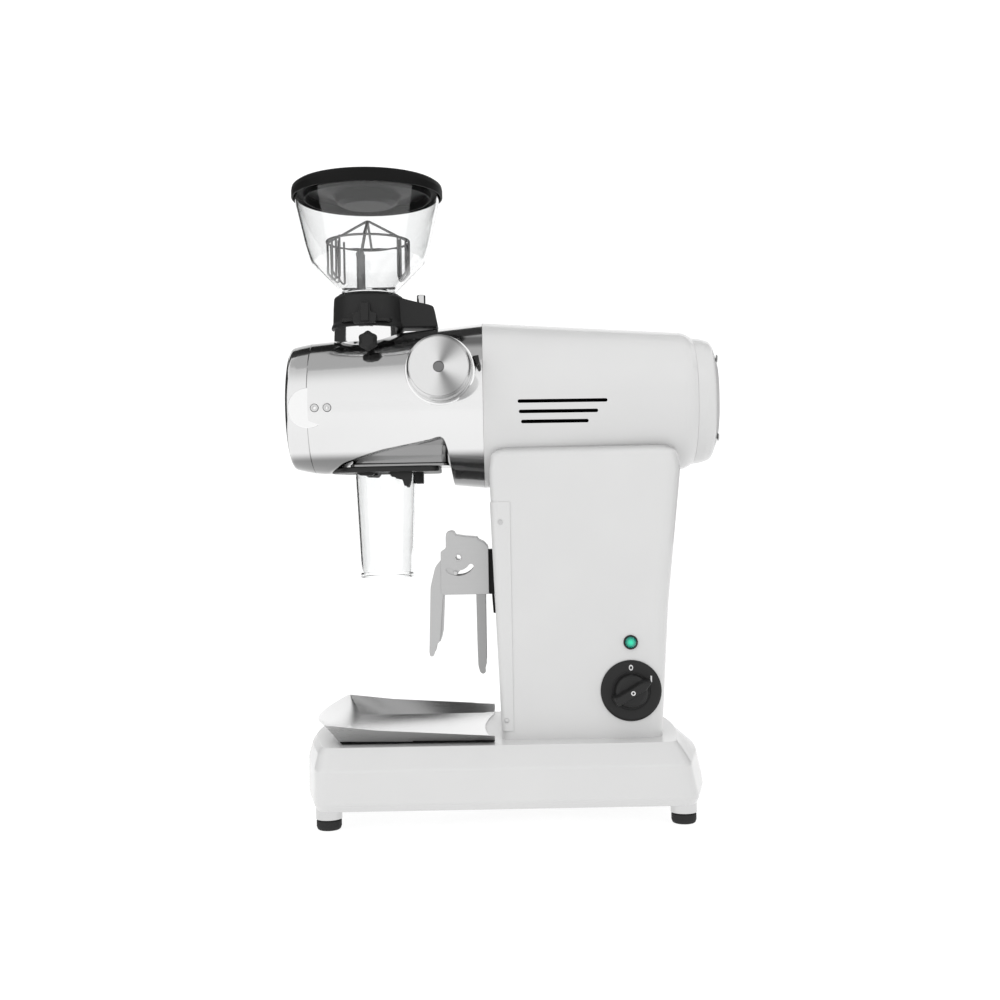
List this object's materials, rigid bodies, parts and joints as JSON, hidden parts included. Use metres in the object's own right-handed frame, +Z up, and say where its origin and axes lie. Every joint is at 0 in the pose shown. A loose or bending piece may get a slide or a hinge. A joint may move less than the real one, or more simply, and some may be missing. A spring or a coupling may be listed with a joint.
{
  "type": "burr coffee grinder",
  "caption": "Upright burr coffee grinder: clear hopper over a polished horizontal grinding chamber, white motor column and base, spout tube, bag clamp and grounds tray.",
  "frame": {"origin": "on the floor under the middle of the machine's box, at the bottom of the feet", "axes": "+Z up; -Y is the front, where the spout and the tray are; +X is the side with the switch, the pilot light and the grind knob"},
  "size_m": [0.24, 0.424, 0.622],
  "materials": {
    "white_paint": "gloss",
    "polished_aluminium": "polished",
    "brushed_aluminium": "turned, satin",
    "grey_plastic": "satin",
    "chrome": "polished",
    "stainless": "satin",
    "zinc_steel": "plain",
    "burr_steel": "hardened, ground",
    "copper": "enamelled wire",
    "black_plastic": "satin",
    "light_plastic": "satin",
    "clear_plastic": "clear",
    "green_lens": "faceted",
    "rubber": "matte"
  },
  "bodies": {
    "root": {"base_casting": "white_paint", "body_casting": "white_paint", "column_cover": "white_paint", "rear_cap": "white_paint", "grinding_chamber": "polished_aluminium", "front_cap": "polished_aluminium", "hopper_neck": "polished_aluminium", "foot_ferrules": "chrome", "collar_bolt": "chrome", "chamber_screws": "chrome", "clamp_bracket": "stainless", "clamp_rear_jaw": "stainless", "clamp_pivot": "stainless", "base_plate": "zinc_steel", "column_bolts": "zinc_steel", "cover_screws": "zinc_steel", "cap_screws": "zinc_steel", "flange_bolts": "zinc_steel", "motor_can": "zinc_steel", "stator_core": "zinc_steel", "motor_end_bell": "zinc_steel", "rear_bearing": "zinc_steel", "front_bearing": "zinc_steel", "fixed_burr": "burr_steel", "stator_windings": "copper", "hopper_collar": "black_plastic", "outlet_plate": "black_plastic", "switch_plate": "black_plastic", "switch_body": "black_plastic", "pilot_bezel": "black_plastic", "clamp_mount": "black_plastic", "cable_gland": "black_plastic", "terminal_block": "black_plastic", "pilot_lamp": "black_plastic", "run_capacitor": "light_plastic", "pilot_lens": "green_lens", "foot_pads": "rubber"},
    "quill": {"shaft_quill": "zinc_steel", "quill_bearings": "zinc_steel"},
    "rotor": {"main_shaft": "zinc_steel", "rotor_core": "zinc_steel", "cooling_fan": "black_plastic", "burr_carrier": "brushed_aluminium", "moving_burr": "burr_steel", "feed_auger": "burr_steel"},
    "adjuster": {"adjust_knob": "brushed_aluminium", "knob_cap": "grey_plastic", "adjust_spindle": "zinc_steel"},
    "switch": {"switch_knob": "black_plastic", "switch_spindle": "zinc_steel"},
    "gate": {"gate_shutter": "black_plastic"},
    "thumbscrew": {"lock_thumbscrew": "black_plastic"},
    "hopper_body": {"hopper": "clear_plastic", "finger_guard": "stainless", "guard_post": "stainless"},
    "lid": {"hopper_lid": "black_plastic"},
    "spout": {"spout_tube": "clear_plastic"},
    "front_jaw": {"clamp_front_jaw": "stainless", "clamp_guide_pin": "stainless"},
    "tray": {"grounds_tray": "stainless"}
  },
  "joints": [
    {"name": "grind_adjust", "type": "hinge", "parent": "root", "child": "adjuster", "pos_m": [0.08, -0.0557, 0.4253], "axis": [1, 0, 0], "range_deg": [-135, 135]},
    {"name": "quill_slide", "type": "slide", "parent": "root", "child": "quill", "axis": [0, 1, 0], "range_m": [-0.00082, 0.00082]},
    {"name": "rotor_spin", "type": "hinge", "parent": "quill", "child": "rotor", "pos_m": [0, 0, 0.3974], "axis": [0, 1, 0], "continuous": true},
    {"name": "switch_turn", "type": "hinge", "parent": "root", "child": "switch", "pos_m": [0.08, 0.1191, 0.12], "axis": [1, 0, 0], "range_deg": [0, 60]},
    {"name": "gate_pull", "type": "slide", "parent": "root", "child": "gate", "axis": [1, 0, 0], "range_m": [0, 0.045]},
    {"name": "thumbscrew_turn", "type": "hinge", "parent": "root", "child": "thumbscrew", "pos_m": [0.05, -0.125, 0.457], "axis": [1, 0, 0], "range_deg": [0, 360]},
    {"name": "hopper_lift", "type": "slide", "parent": "root", "child": "hopper_body", "axis": [0, 0, 1], "range_m": [0, 0.08]},
    {"name": "lid_lift", "type": "slide", "parent": "hopper_body", "child": "lid", "axis": [0, 0, 1], "range_m": [0, 0.06]},
    {"name": "spout_pull", "type": "slide", "parent": "root", "child": "spout", "axis": [0, 0, -1], "range_m": [0, 0.03]},
    {"name": "jaw_swing", "type": "hinge", "parent": "root", "child": "front_jaw", "pos_m": [0, -0.0433, 0.2465], "axis": [1, 0, 0], "range_deg": [-12, 20]},
    {"name": "tray_draw", "type": "slide", "parent": "root", "child": "tray", "axis": [0, -1, 0], "range_m": [0, 0.12]}
  ],
  "couplings": [
    {"joint": "grind_adjust", "follows": "quill_slide", "rad_per_m": 2857.1}
  ]
}
